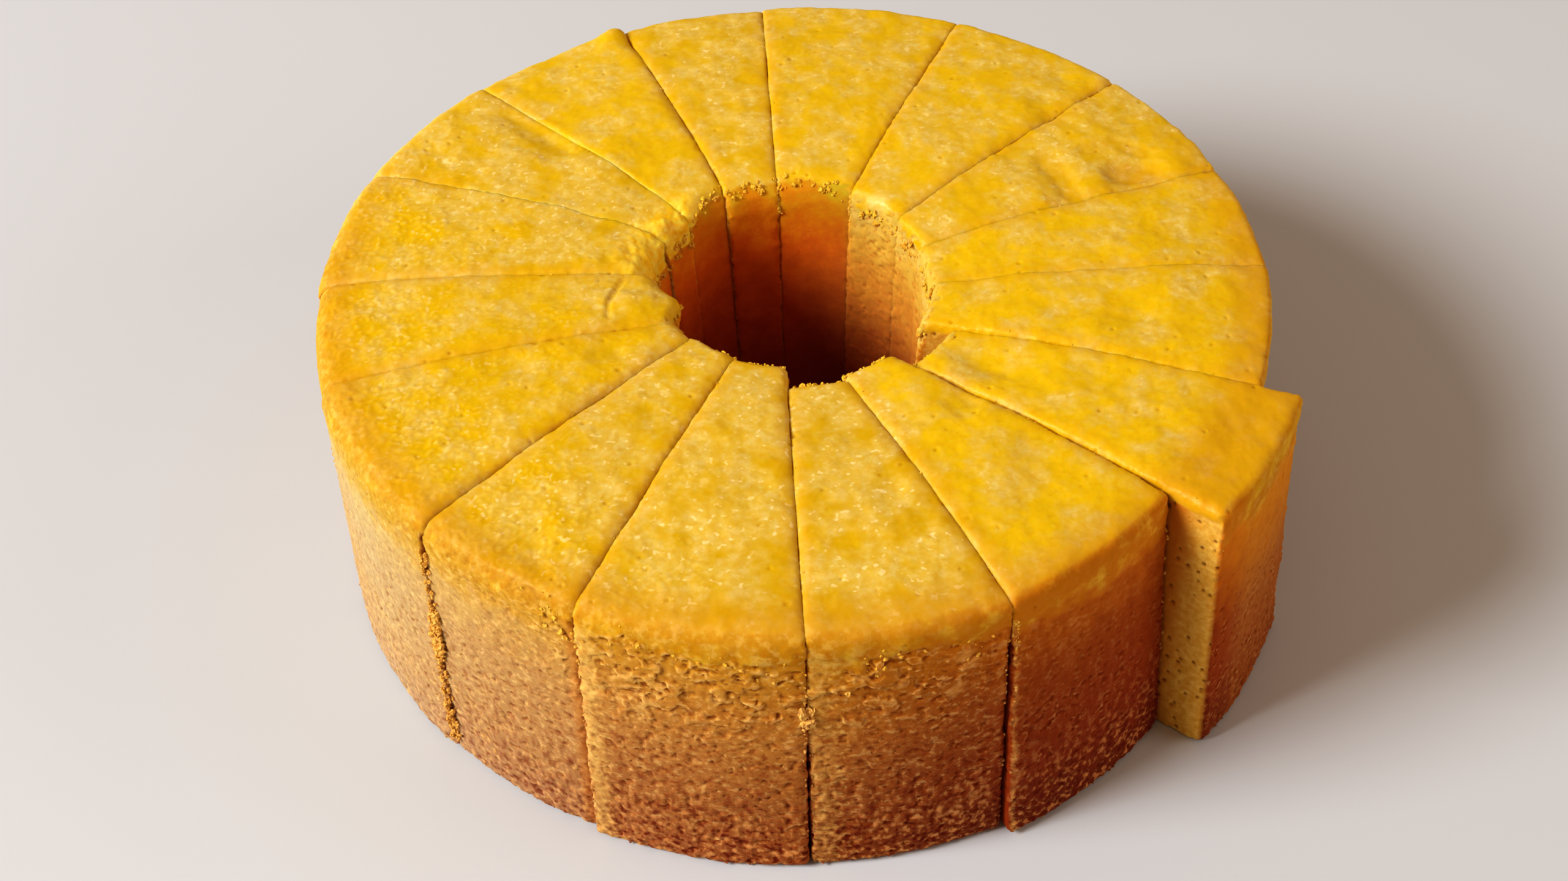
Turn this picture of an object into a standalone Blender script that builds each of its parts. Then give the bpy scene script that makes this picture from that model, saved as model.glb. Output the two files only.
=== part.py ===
"""A tall ring of golden sponge cake, cut into sixteen slices that still stand as one ring.

The ring stands on the plane z = 0 with its hole's axis on the z axis.  Each slice is a wedge between two
upright knife cuts.  A cut is a straight line in plan, and it passes the axis a few millimetres to one side.
A slice's section is one closed outline (underside, outer side, lip of the top skin, rounded rim, top, hole
edge, hole wall) that is carried across the wedge in columns, closest together beside the two cuts, where the
skin rolls down into the groove.  Sizes are in millimetres and become metres where the vertices are made.
"""
import math

import bmesh
import bpy
from mathutils import Vector, noise

MM = 0.001

# Driving dimensions
HEIGHT = 83.0            # underside to the top skin at the rim
DOME = 1.6               # the top rises this much between rim and hole
BASE_RADIUS = 123.6      # outer side at the underside
RIM_RADIUS = 121.0       # outer side at the top
HOLE_RADIUS = 37.0       # hole at the top
HOLE_BASE_RADIUS = 31.5  # hole at the underside
BASE_ROUND = 2.0         # rounding of the lower outer edge
RIM_ROUND = 3.4          # rounding from the side to the top
RIM_SOFTNESS = 2.2       # how much larger it is on the rim's soft stretch, and smaller opposite
SOFT_ANGLE = 200.0       # degrees, the middle of that stretch
HOLE_ROUND = 2.5         # rounding from the top into the hole
HOLE_SAG = 5.5           # extra rounding where the skin sags into the hole
SAG_ANGLE = 125.0        # degrees, the middle of that stretch

# The top skin laps over the side and ends in a torn lip
LIP_DEPTH = 7.5
LIP_STEP = 0.35
LIP_TEAR = 1.2
LIP_TEAR_LENGTH = 9.0

# Rounding beside a cut
CORNER_REACH = 3.2
SIDE_FALL = 0.6
SIDE_FALL_REACH = 1.8
NARROW_SHARE = 0.4       # at a narrow tip the rounding takes at most this share of the width

# Waves of the surfaces
TOP_WAVE = 0.75
TOP_WAVE_LENGTH = 26.0
TOP_RIPPLE = 0.35
TOP_RIPPLE_LENGTH = 9.0
SIDE_WAVE = 0.45
SIDE_WAVE_LENGTH = 16.0

# Cuts, anticlockwise from the front, as they lie between the slices now: direction in degrees, how far the
# line passes to the left of the axis, half of the gap it leaves, and how deep the skin rolls down into it
CUTS = (
    (-88.5, -3.5, 0.35, 1.5),
    (-65.5, -4.5, 0.55, 1.6),
    (-38.8, -8.9, 0.3, 1.0),
    (-18.8, -7.5, 0.25, 0.8),
    (1.8, -5.4, 0.2, 0.7),
    (18.7, -0.5, 0.2, 0.8),
    (41.0, -1.5, 0.25, 1.1),
    (65.8, -1.2, 0.25, 1.1),
    (91.8, 2.0, 0.3, 1.0),
    (111.6, 2.6, 0.3, 1.5),
    (135.0, 0.4, 0.2, 0.9),
    (159.7, -6.0, 0.2, 0.8),
    (179.9, -2.4, 0.3, 1.2),
    (192.3, 9.4, 0.3, 1.6),
    (224.7, -2.6, 0.3, 2.0),
    (245.4, -1.3, 0.3, 1.7),
)

# Slices, anticlockwise from the front cut: how far each is pushed outwards, how much higher its top stands,
# how far its tip is set back from the hole, how much more its side leans in, and how much its side stands
# out at the second cut and back at the first
SLICES = (
    (0.9, 0.0, 2.1, 0.0, 0.0),
    (1.9, 0.3, -0.6, 3.0, -2.0),
    (12.3, 0.0, -4.8, 1.2, 0.0),
    (0.6, 0.4, -1.5, 0.0, 0.0),
    (0.4, 0.0, -2.9, 0.0, 0.0),
    (0.6, 0.3, -1.6, 0.0, 0.0),
    (0.3, 0.5, -0.8, 0.0, 0.0),
    (0.9, 0.2, -0.4, 0.0, 0.0),
    (0.5, 0.0, -0.5, 0.0, 0.0),
    (1.2, 0.3, 0.3, 0.0, 0.0),
    (1.4, 0.0, -1.4, -1.4, 0.5),
    (1.4, 0.3, -0.9, -1.0, -0.5),
    (0.5, 0.2, -3.2, -0.4, 0.0),
    (0.5, 0.4, -3.4, -1.3, 0.0),
    (-0.3, 0.0, -4.2, -1.2, 0.0),
    (1.4, 0.2, -5.4, 0.0, 0.0),
)

# Hollows and lumps of the baked top: both ends of the stretch in plan, reach to each side, height
TOP_SPOTS = (
    ((-78, 70), (-61, 54), 5.0, -2.6),
    ((-64, 57), (-64, 57), 3.0, 1.0),
    ((-62, 68), (-42, 82), 5.0, -1.4),
    ((-50, 107), (-50, 107), 8.0, 2.6),
    ((92, 38), (92, 38), 11.0, -3.0),
    ((86, 38), (86, 38), 4.0, 1.8),
    ((84, 51), (97, 53), 4.5, 0.9),
    ((68, 47), (76, 25), 5.0, -1.4),
    ((72, 62), (72, 62), 5.0, -1.2),
    ((86, -20), (86, -20), 8.0, -1.7),
    ((115, -22), (111, -33), 4.5, 1.5),
    ((70, -35), (70, -35), 5.0, -1.2),
    ((38, -47), (38, -47), 6.0, -1.9),
    ((36, -29), (43, -33), 7.0, -1.8),
    ((51, -73), (59, -63), 7.0, -1.3),
    ((22, -77), (22, -77), 4.0, -1.1),
    ((-70, -31), (-74, -37), 5.0, -1.8),
    ((-43, -27), (-43, -27), 5.5, -2.1),
    ((-13, -77), (-9, -70), 4.5, -1.1),
    ((-65, -88), (-60, -91), 4.5, -1.0),
    ((-41, -9), (-41, -9), 7.0, 1.6),
)

# The lump of skin at a slice's tip that hangs into the hole
OVERHANG_ANGLE = 193.0
OVERHANG_WIDTH = 9.0
OVERHANG_DROP = 12.0
OVERHANG = 5.0

# How finely an outline and a wedge are divided
SIDE_ROWS = 5
TOP_ROWS = 9
WALL_ROWS = 2
ARC_STEPS = 3
INNER_COLUMNS = 4
CORNER_COLUMNS = (0.0, 0.7, 1.7, CORNER_REACH)


class Slice:
    """What sets one slice apart, and the wedge that it fills."""

    def __init__(self, number):
        self.push, self.lift, self.setback, self.lean, self.swing = SLICES[number]
        first, second = CUTS[number], following_cut(number)
        radius = mix(HOLE_RADIUS, RIM_RADIUS, 0.5)
        angle = mix(cut_angle(first, 0.0, radius), cut_angle(second, 0.0, radius), 0.5)
        self.shift = Vector((math.cos(angle), math.sin(angle), 0.0)) * self.push
        self.first = cut_before_push(first, self.shift)
        self.second = cut_before_push(second, self.shift)
        start = cut_angle(self.first, 0.0, RIM_RADIUS)
        end = cut_angle(self.second, 0.0, RIM_RADIUS)
        self.middle, self.half_width = (start + end) / 2.0, (end - start) / 2.0

    def side_radius(self, angle, z):
        """Radius of the outer side."""
        swing = self.swing * (angle - self.middle) / self.half_width
        return mix(BASE_RADIUS, RIM_RADIUS - self.lean, z / HEIGHT) + swing


def mix(low, high, share):
    """Value part of the way from low to high."""
    return low + (high - low) * share


def cut_angle(cut, sideways, radius):
    """Angle, in radians, at which a cut moved sideways crosses a circle round the axis."""
    direction, step = cut[0], cut[1]
    return math.radians(direction) + math.asin((step + sideways) / radius)


def quarter_fall(distance, reach, depth):
    """Drop of a quarter-round edge at a distance from it."""
    if distance >= reach:
        return 0.0
    share = 1.0 - distance / reach
    return depth * (1.0 - math.sqrt(1.0 - share * share))


def wave(point, length, height, layer=0.0):
    """Smooth unevenness of a baked surface."""
    return height * noise.noise(Vector((point[0], point[1], point[2] + layer)) / length)


def spot_height(x, y, spot):
    """Height that one hollow or lump adds at a place on the top."""
    start, end, reach, height = Vector(spot[0]), Vector(spot[1]), spot[2], spot[3]
    place = Vector((x, y))
    along = end - start
    share = 0.0
    if along.length > 0.0:
        share = max(0.0, min(1.0, (place - start).dot(along) / along.length_squared))
    distance = (place - start - along * share).length
    return height * math.exp(-((distance / (0.6 * reach)) ** 2))


def top_relief(x, y):
    """Height of the uneven top above its smooth dome."""
    place = (x, y, 0.0)
    waves = wave(place, TOP_WAVE_LENGTH, TOP_WAVE) + wave(place, TOP_RIPPLE_LENGTH, TOP_RIPPLE, 40.0)
    return waves + sum(spot_height(x, y, spot) for spot in TOP_SPOTS)


def side_relief(x, y, z):
    """How far the uneven side or hole wall stands out."""
    return wave((x, y, z), SIDE_WAVE_LENGTH, SIDE_WAVE)


def lip_height(angle):
    """Height of the torn lower edge of the top skin."""
    around = (RIM_RADIUS * math.cos(angle), RIM_RADIUS * math.sin(angle), 0.0)
    return HEIGHT - LIP_DEPTH + wave(around, LIP_TEAR_LENGTH, LIP_TEAR, 80.0)


def rim_rounding(angle):
    """Rounding of the outer upper edge."""
    return RIM_ROUND + RIM_SOFTNESS * math.cos(angle - math.radians(SOFT_ANGLE))


def hole_rounding(angle):
    """Rounding of the hole's upper edge, larger where the skin sags into it."""
    return HOLE_ROUND + HOLE_SAG * max(0.0, math.cos(angle - math.radians(SAG_ANGLE)))


def hole_radius(angle, z, setback):
    """Radius of the hole wall, less where a lump of skin hangs into it."""
    radius = mix(HOLE_BASE_RADIUS, HOLE_RADIUS + setback, z / HEIGHT)
    turn = math.degrees(angle) % 360.0 - OVERHANG_ANGLE
    beside = math.exp(-((turn / OVERHANG_WIDTH) ** 2))
    below = max(0.0, 1.0 - (HEIGHT - z) / OVERHANG_DROP)
    return radius - OVERHANG * beside * below


def arc(centre_radius, centre_z, size, start, end, steps):
    """Rows along an arc of the outline, each with its radius, height and outward direction."""
    rows = []
    for step in range(steps + 1):
        turn = math.radians(mix(start, end, step / steps))
        out, up = math.cos(turn), math.sin(turn)
        rows.append((centre_radius + size * out, centre_z + size * up, out, up))
    return rows


def outline(angle, piece):
    """Closed section at an angle: radius, height and outward direction of each row."""
    height = HEIGHT + piece.lift
    rows = [(hole_radius(angle, 0.0, piece.setback), 0.0, 0.0, 0.0)]
    rows += arc(piece.side_radius(angle, 0.0) - BASE_ROUND, BASE_ROUND, BASE_ROUND, -90.0, 0.0, 2)
    lip = lip_height(angle)
    for row in range(1, SIDE_ROWS + 1):
        z = mix(BASE_ROUND, lip, row / (SIDE_ROWS + 0.6))
        rows.append((piece.side_radius(angle, z), z, 1.0, 0.0))
    side = piece.side_radius(angle, lip)
    rows.append((side, lip, 1.0, 0.0))
    rows.append((side + LIP_STEP, lip + LIP_STEP, 1.0, 0.0))
    rim_round = rim_rounding(angle)
    rim = piece.side_radius(angle, HEIGHT) + LIP_STEP - rim_round
    rows += arc(rim, height - rim_round, rim_round, 0.0, 90.0, ARC_STEPS)
    rounding = hole_rounding(angle)
    edge = hole_radius(angle, height, piece.setback) + rounding
    for row in range(1, TOP_ROWS + 1):
        share = row / (TOP_ROWS + 1)
        middle = 2.0 * share - 1.0
        rows.append((mix(rim, edge, share), height + DOME * (1.0 - middle * middle), 0.0, 1.0))
    rows += arc(edge, height - rounding, rounding, 90.0, 180.0, ARC_STEPS)
    for row in range(1, WALL_ROWS + 1):
        z = mix(height - rounding, 0.0, row / (WALL_ROWS + 1))
        rows.append((hole_radius(angle, z, piece.setback), z, -1.0, 0.0))
    return rows


def wedge_columns():
    """Columns across a wedge: which cut each is measured from, distance to it, and share between the cuts."""
    columns = [("first", distance, 0.0) for distance in CORNER_COLUMNS]
    for column in range(1, INNER_COLUMNS + 1):
        columns.append(("between", CORNER_REACH, column / (INNER_COLUMNS + 1)))
    columns += [("second", distance, 1.0) for distance in reversed(CORNER_COLUMNS)]
    return columns


def column_angle(first, second, column, radius):
    """Angle at which a column of the wedge crosses a circle round the axis."""
    kind, distance, share = column
    width = radius * (cut_angle(second, -second[2], radius) - cut_angle(first, first[2], radius))
    squeeze = min(1.0, NARROW_SHARE * width / CORNER_REACH)
    from_first = cut_angle(first, first[2] + distance * squeeze, radius)
    from_second = cut_angle(second, -second[2] - distance * squeeze, radius)
    if kind == "first":
        return from_first
    if kind == "second":
        return from_second
    return mix(from_first, from_second, share)


def surface_point(piece, column, row):
    """One vertex of a slice, in millimetres, before the slice is pushed outwards."""
    first, second = piece.first, piece.second
    middle = column_angle(first, second, column, RIM_RADIUS)
    radius, z, out, up = outline(middle, piece)[row]
    angle = column_angle(first, second, column, radius)
    radius, z, out, up = outline(angle, piece)[row]
    distance = column[1]
    cut = first if column[0] == "first" else second
    x, y = radius * math.cos(angle), radius * math.sin(angle)
    rise = top_relief(x, y) - quarter_fall(distance, CORNER_REACH, cut[3])
    swell = side_relief(x, y, z) - quarter_fall(distance, SIDE_FALL_REACH, SIDE_FALL)
    radius += out * swell
    z += max(0.0, up) * rise
    angle = column_angle(first, second, column, radius)
    return Vector((radius * math.cos(angle), radius * math.sin(angle), z))


def cut_before_push(cut, shift):
    """Where a slice had the cut beside it before the slice was pushed by shift."""
    direction, step, gap, fall = cut
    turn = math.radians(direction)
    leftwards = Vector((-math.sin(turn), math.cos(turn), 0.0))
    return (direction, step - shift.dot(leftwards), gap, fall)


def following_cut(number):
    """The cut anticlockwise of a slice, a full turn on after the last slice."""
    if number + 1 < len(CUTS):
        return CUTS[number + 1]
    direction, step, gap, fall = CUTS[0]
    return (direction + 360.0, step, gap, fall)


def build_slice(number, material):
    """Model one slice as a closed solid."""
    piece = Slice(number)
    columns = wedge_columns()
    row_count = len(outline(piece.middle, piece))

    shape = bmesh.new()
    grid = []
    for column in columns:
        places = [surface_point(piece, column, row) for row in range(row_count)]
        grid.append([shape.verts.new((place + piece.shift) * MM) for place in places])
    for left, right in zip(grid, grid[1:]):
        for row in range(row_count):
            above = (row + 1) % row_count
            shape.faces.new((left[row], right[row], right[above], left[above]))
    shape.faces.new(grid[0])
    shape.faces.new(list(reversed(grid[-1])))

    name = f"slice_{number + 1:02d}"
    mesh = bpy.data.meshes.new(name)
    shape.to_mesh(mesh)
    shape.free()
    mesh.shade_smooth()
    mesh.set_sharp_from_angle(angle=math.radians(40.0))
    mesh.materials.append(material)
    slice_object = bpy.data.objects.new(name, mesh)
    bpy.context.scene.collection.objects.link(slice_object)


def sponge_material(name):
    """Golden sponge with a slight gloss on its skin."""
    material = bpy.data.materials.new(name)
    material.use_nodes = True
    shader = material.node_tree.nodes["Principled BSDF"]
    shader.inputs["Base Color"].default_value = (0.84, 0.47, 0.05, 1.0)
    shader.inputs["Roughness"].default_value = 0.55
    shader.inputs["Metallic"].default_value = 0.0
    return material


def main():
    for old in list(bpy.data.objects):
        bpy.data.objects.remove(old, do_unlink=True)
    for number in range(len(SLICES)):
        build_slice(number, sponge_material(f"sponge_{number + 1:02d}"))


main()
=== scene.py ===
"""Looks of a tall ring of golden sponge cake, cut into sixteen slices that still stand as one ring.

Every slice starts as a copy of its solid.  It is remeshed finely where it shows, and the baked surfaces are
modelled on it: the thin glossy skin with its dimples, the smooth band and the torn flakes where it ends on
the side, the porous side and hole wall, the crumb of the knife cuts and their ragged edges.  Loose crumbs
lie along the cuts, the lip, the hole and the foot, and fill one cut.  Sizes are in millimetres until they
meet Blender, where MM makes them metres.
"""
import math
import random
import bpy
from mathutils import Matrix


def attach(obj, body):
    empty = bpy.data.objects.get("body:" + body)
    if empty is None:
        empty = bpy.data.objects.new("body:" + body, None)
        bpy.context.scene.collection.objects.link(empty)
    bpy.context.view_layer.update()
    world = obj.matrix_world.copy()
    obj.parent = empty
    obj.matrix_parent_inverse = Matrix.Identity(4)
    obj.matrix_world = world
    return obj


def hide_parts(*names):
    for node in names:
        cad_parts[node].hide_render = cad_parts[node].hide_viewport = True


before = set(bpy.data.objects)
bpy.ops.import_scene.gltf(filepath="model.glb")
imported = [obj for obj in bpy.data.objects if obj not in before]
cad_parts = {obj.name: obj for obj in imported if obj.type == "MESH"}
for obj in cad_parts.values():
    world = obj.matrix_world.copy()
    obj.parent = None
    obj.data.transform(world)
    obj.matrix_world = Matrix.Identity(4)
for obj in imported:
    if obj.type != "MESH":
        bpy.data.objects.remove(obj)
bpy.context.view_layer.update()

from types import SimpleNamespace

import bpy
import numpy as np
from mathutils import Euler, Matrix, Vector, noise

MM = 0.001

# Sizes of the cake, as its solids have them
HEIGHT = 83.0
RIM_RADIUS = 121.0
HOLE_RADIUS = 37.0
MIDDLE_RADIUS = 80.0

# Fineness of the meshes
REMESH_SIZE = 1.0

# How far in from the edge of the hidden faces the mesh is thinned, and the share of its faces that is left
HIDDEN_MARGIN = 4.0
HIDDEN_SHARE = 0.05

# Height that takes the mark of relief from 0 to 1, and the rounds of averaging that give its level
RELIEF_SPAN = 0.8
RELIEF_ROUNDS = 10

# Stretches of radius where a slice's knife cuts show, and the stretch of one whose cuts don't
SHOWN_CUT_FACES = {
    "slice_02": (30.0, 62.0),
    "slice_03": (100.0, 140.0),
    "slice_04": (30.0, 62.0),
}
NO_CUT_SHOWN = (-9.0, -5.0)

# How far below the top the skin ends on the side: direction in degrees, depth
SIDE_LIPS = (
    (0, 12.0), (170, 5.0), (200, 2.6), (225, 2.4), (240, 3.4), (247, 4.2), (255, 6.0), (262, 7.5),
    (270, 10.0), (275, 10.5), (281, 8.5), (290, 10.0), (300, 11.0), (360, 12.0),
)
# How torn the side is below the skin: direction in degrees, share
SIDE_TEARS = (
    (0, 0.0), (190, 0.0), (215, 0.2), (235, 0.4), (250, 1.0), (280, 1.0), (296, 0.4), (312, 0.0), (360, 0.0),
)
# How far below the top the skin ends in the hole: direction in degrees, depth
HOLE_LIPS = (
    (0, 5.0), (30, 6.0), (60, 5.0), (68, 1.5), (111, 2.0), (125, 3.0), (136, 8.0), (150, 10.0), (163, 11.0),
    (170, 8.0), (182, 6.0), (200, 5.0), (250, 3.0), (272, 1.6), (310, 2.2), (325, 3.5), (360, 5.0),
)
# How broad the bare crumbly edge round the hole is: direction in degrees, breadth
HOLE_FRINGES = (
    (0, 1.0), (30, 0.2), (60, 0.6), (70, 1.6), (110, 2.0), (122, -2.0), (300, -2.0), (325, 2.0), (360, 1.0),
)
# How browned the side is, partly painted light on the left and painted shade on the right: direction in
# degrees, share
SIDE_BROWNING_AND_SHADE = (
    (0, 0.6), (60, 0.6), (180, 0.1), (210, 0.0), (230, 0.2), (243, 0.3), (247, 0.4), (270, 0.5), (273, 0.58),
    (281, 0.74), (292, 0.92), (296, 0.97), (320, 1.0), (324, 0.68), (345, 0.64), (360, 0.6),
)
# How pale the skin is: direction in degrees, share
SKIN_PALENESS = (
    (0, 0.3), (18, 0.3), (20, 0.65), (40, 0.65), (42, 0.45), (91, 0.5), (93, 0.75), (110, 0.75),
    (113, 0.35), (134, 0.4), (137, 0.8), (158, 0.8), (162, 0.6), (191, 0.5), (194, 0.45), (223, 0.5),
    (226, 0.7), (244, 0.75), (247, 0.95), (293, 0.95), (296, 0.15), (340, 0.15), (344, 0.3), (360, 0.3),
)
# Directions, in degrees, between which lobes of skin hang into the hole
LOBES_FROM = 128.0
LOBES_TO = 176.0
# How near two directions are that mean the same cut, in degrees
SAME_CUT = 5.0
# Cuts that are grown together near the hole: direction in degrees, radius inside which they are closed
CLOSED_CUTS = ((135.0, 95.0), (159.7, 98.0))
# How far the corners beside them are raised
CLOSED_FILL = 0.4
# Cuts with a width of their own: direction in degrees, height up to which they gape, and how far each side
# is moved towards the cut above that height
GAPING_CUTS = ((224.7, 0.0, 0.85), (271.5, 46.0, 0.7), (294.5, 70.0, 0.95), (321.2, 86.0, 0.3))
# How far each side of the other cuts is moved towards the cut
USUAL_CLOSING = 0.6
# The same on the outer side at the back, between these directions, where the cuts stay thin dark lines
BACK_CUTS_FROM = 330.0
BACK_CUTS_TO = 200.0
BACK_SIDE_CLOSING = 0.2
# How much further the cuts close at the hole, and a closing that is wider than any
TIP_CLOSING = 0.3
WIDEST_CLOSING = 1.5
# Edges of slices that differ from the crust round them on the side, cream crumb above 0 and dark painted
# shade below 0: slice, direction of the cut in degrees, breadth, tone
TONED_EDGES = (
    ("slice_16", 245.4, 9.0, 0.8),
    ("slice_16", 271.5, 10.0, -0.12),
    ("slice_01", 271.5, 14.0, 0.55),
    ("slice_15", 245.4, 4.5, -0.6),
    ("slice_15", 224.7, 2.6, 0.4),
    ("slice_14", 224.7, 2.6, 0.4),
    ("slice_02", 294.5, 3.0, 0.6),
    ("slice_01", 294.5, 1.6, -1.0),
)
# A cut that crumb fills on the side: direction in degrees, and how far the crumb reaches on the slice on
# each side of it
FILLED_CUT = (224.7, {"slice_14": 0.9, "slice_15": 2.2})
# The crumbs in it: heights between which they lie, count and largest size
FILLED_CUT_CRUMBS = (
    (5.0, 20.0, 28, 0.9),
    (20.0, 38.0, 26, 0.8),
    (38.0, 53.0, 38, 1.3),
    (53.0, 75.0, 30, 0.6),
)
# Slices at the front, and how many crumbs lie in the cuts on the side of these and of the other slices
FRONT_SLICES = ("slice_01", "slice_02", "slice_14", "slice_15", "slice_16")
FRONT_CUT_CRUMBS = 40
OTHER_CUT_CRUMBS = 12
# A blob of crumb that sticks in the front cut: place and reach
CRUMB_BLOB = ((-1.0, -124.6, 56.0), 4.0)
# How many shapes of loose crumbs there are, and the start of the random draws that scatter them
CRUMB_SHAPES = 5
CRUMB_SEED = 7

# Stretch of directions, in degrees, where the hole wall is torn open
TORN_WALL_MIDDLE = 10.0
TORN_WALL_REACH = 54.0

# Hollows and dents of the skin: both ends in plan, reach, depth
SKIN_HOLLOWS = (
    ((-45, -4), (-47, -10), 1.1, 0.7),
    ((-47, -10), (-47, -15), 1.0, 0.5),
    ((-43, 1), (-45, -4), 1.0, 0.5),
    ((89.0, 37.4), (96.5, 37.4), 5.5, 1.1),
    ((81.5, 47.0), (89.0, 49.5), 3.0, 0.45),
    ((89.0, 49.5), (96.5, 45.5), 3.0, 0.45),
    ((70.0, 43.0), (75.0, 29.0), 4.0, 0.5),
)

# What the material reads from red, green, blue and alpha of each vertex attribute
SURFACE_MARKS = {
    "zones": ("skin", "hole", "cut", "side"),
    # Relief and edge shade here carry painted highlight and painted shade
    "tone_and_shade": ("relief", "edge", "pale", "paleness"),
    # Browning and seam here also carry painted light on the left and painted shade beside cuts and on the
    # right
    "bake_and_shade": ("browning_and_shade", "wet", "seam", "rim"),
    "face": ("shown", "lobes", "torn", "sheltered"),
}

# Camera of the photograph: place, pitch below the horizon, roll and lens on a 36 mm sensor
CAMERA_PLACE = (-3.46, -437.83, 460.88)
CAMERA_PITCH = 45.01
CAMERA_ROLL = -1.805
CAMERA_LENS = 51.50


# ------------------------ small helpers

def mix(low, high, share):
    """Value part of the way from low to high."""
    return low + (high - low) * share


def rise(low, high, value):
    """0 below low, 1 above high, and a smooth rise between, for whole arrays."""
    share = np.clip((value - low) / (high - low), 0.0, 1.0)
    return share * share * (3.0 - 2.0 * share)


def by_direction(table, angles):
    """Values of a table of (direction in degrees, value) at angles in radians."""
    directions, values = zip(*table)
    return np.interp(np.degrees(angles) % 360.0, directions, values)


def select_only(piece):
    """Select one object and make it the active one."""
    bpy.ops.object.select_all(action="DESELECT")
    piece.select_set(True)
    bpy.context.view_layer.objects.active = piece


def read_rows(items, name, width=3):
    """One property of all vertices or faces, as rows of numbers."""
    values = np.empty(len(items) * width, np.float32)
    items.foreach_get(name, values)
    return values.reshape(-1, width).astype(float)


def vertex_places(piece):
    """Places of all vertices, in millimetres."""
    return read_rows(piece.data.vertices, "co") / MM


def vertex_normals(piece):
    """Normals of all vertices."""
    return read_rows(piece.data.vertices, "normal")


def face_facts(piece):
    """Centres in millimetres, normals and areas of all faces."""
    faces = piece.data.polygons
    return read_rows(faces, "center") / MM, read_rows(faces, "normal"), read_rows(faces, "area", 1)[:, 0]


def set_all(thing, settings):
    """Give a thing its settings, and hand it back."""
    for key, value in settings.items():
        setattr(thing, key, value)
    return thing


def linear(colour):
    """A colour as shaders use it, from three screen values of 0 to 255 or from one grey level."""
    if isinstance(colour, float):
        return (colour, colour, colour, 1.0)
    parts = []
    for value in colour:
        value /= 255.0
        parts.append(value / 12.92 if value <= 0.04045 else ((value + 0.055) / 1.055) ** 2.4)
    return (*parts, 1.0)


def set_stops(ramp, stops):
    """Give a colour ramp its stops: each is a position, and a colour or a grey level."""
    while len(ramp.elements) < len(stops):
        ramp.elements.new(0.5)
    for element, (position, colour) in zip(ramp.elements, stops):
        element.position = position
        element.color = linear(colour)


def apply_modifier(piece, kind, **settings):
    """Change the mesh of the active piece by a modifier."""
    modifier = set_all(piece.modifiers.new(kind, kind), settings)
    bpy.ops.object.modifier_apply(modifier=modifier.name)


def noise_at(places, length, layer, where):
    """Smooth noise from -1 to 1 in waves of a length, at the places that are wanted, and zero elsewhere."""
    values = np.zeros(len(places))
    for row in np.nonzero(where)[0]:
        x, y, z = places[row]
        values[row] = noise.noise(Vector((x, y, z + layer)) / length)
    return values


def local_height(piece, heights, rounds):
    """How far each vertex stands above its surroundings: its height less the average round it."""
    edges = np.empty(len(piece.data.edges) * 2, np.int32)
    piece.data.edges.foreach_get("vertices", edges)
    first, second = edges[0::2], edges[1::2]
    count = len(heights)
    neighbours = np.bincount(first, minlength=count) + np.bincount(second, minlength=count)
    level = heights.copy()
    for step in range(rounds):
        total = np.bincount(first, level[second], count) + np.bincount(second, level[first], count)
        level = 0.5 * level + 0.5 * total / np.maximum(neighbours, 1)
    return heights - level


def set_group(piece, name, weights):
    """Give a piece a vertex group with one weight for each vertex."""
    attribute = piece.data.attributes.new(name, "FLOAT", "POINT")
    attribute.data.foreach_set("value", np.clip(weights, 0.0, 1.0).astype(np.float32))
    piece.data.attributes.active = attribute
    bpy.ops.geometry.attribute_convert(mode="VERTEX_GROUP")


def set_marks(piece, marks):
    """Give a piece the marks that its material reads, four in each vertex attribute."""
    for name, parts in SURFACE_MARKS.items():
        attribute = piece.data.attributes.new(name, "FLOAT_COLOR", "POINT")
        values = np.stack([marks[part] for part in parts], axis=1)
        attribute.data.foreach_set("color", np.clip(values, 0.0, 1.0).astype(np.float32).ravel())


# ------------------------ shape of a slice

def knife_planes(node):
    """The two upright knife cuts of a solid slice: outward normals and distances from the axis."""
    centres, normals, areas = face_facts(node)
    middle = (centres * areas[:, None]).sum(axis=0) / areas.sum()
    around = np.array([-middle[1], middle[0], 0.0])
    around /= np.linalg.norm(around)
    planes = []
    for side in (1.0, -1.0):
        flat = (normals @ around * side > 0.9) & (np.abs(normals[:, 2]) < 0.02)
        share = areas * flat
        normal = (normals * share[:, None]).sum(axis=0)
        normal /= np.linalg.norm(normal)
        distance = float((centres @ normal * share).sum() / share.sum())
        direction = math.degrees(math.atan2(-normal[0] * side, normal[1] * side)) % 360.0
        planes.append((normal, distance, direction))
    return planes


def depth_behind(planes, places):
    """How far places lie behind the nearer knife cut, in millimetres."""
    return np.minimum(*(distance - places @ normal for normal, distance, direction in planes))


def closed_share(planes, places, radii):
    """How far the knife cuts beside places are grown together, from 0 to 1."""
    shares = np.zeros(len(places))
    for normal, distance, direction in planes:
        near = distance - places @ normal < 6.0
        for cut_direction, radius in CLOSED_CUTS:
            if abs(cut_direction - direction) < SAME_CUT:
                shares = np.maximum(shares, near * (1.0 - rise(-8.0, 4.0, radii - radius)))
    return shares * rise(HOLE_RADIUS + 2.0, HOLE_RADIUS + 6.0, radii)


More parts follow.
